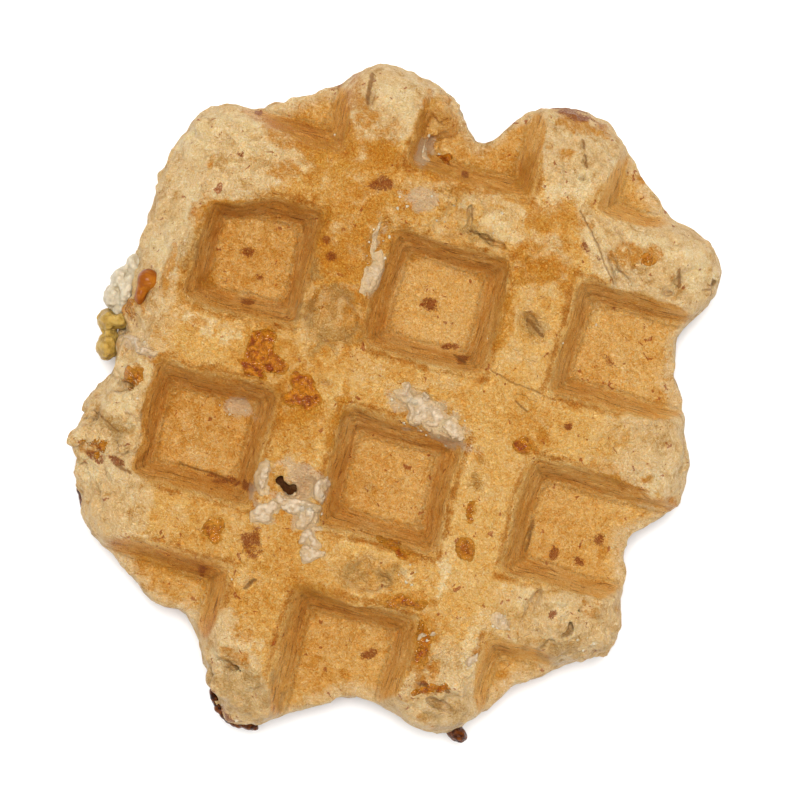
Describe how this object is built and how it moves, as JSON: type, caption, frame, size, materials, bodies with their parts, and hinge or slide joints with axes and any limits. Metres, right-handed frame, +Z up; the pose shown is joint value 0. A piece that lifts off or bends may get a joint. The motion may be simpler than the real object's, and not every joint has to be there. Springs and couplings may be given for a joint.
{
  "type": "liege waffle",
  "caption": "Thick yeast-dough waffle with deep square pockets on both faces and uneven rounded ridge ends.",
  "frame": {"origin": "on the table, under the middle of the waffle's bounding box", "axes": "+Z up, out of the upper face; +X and +Y along the two directions of the iron's grid"},
  "size_m": [0.0924, 0.1024, 0.0258],
  "materials": {
    "crust": null
  },
  "bodies": {
    "root": {"waffle": "crust"}
  },
  "joints": []
}
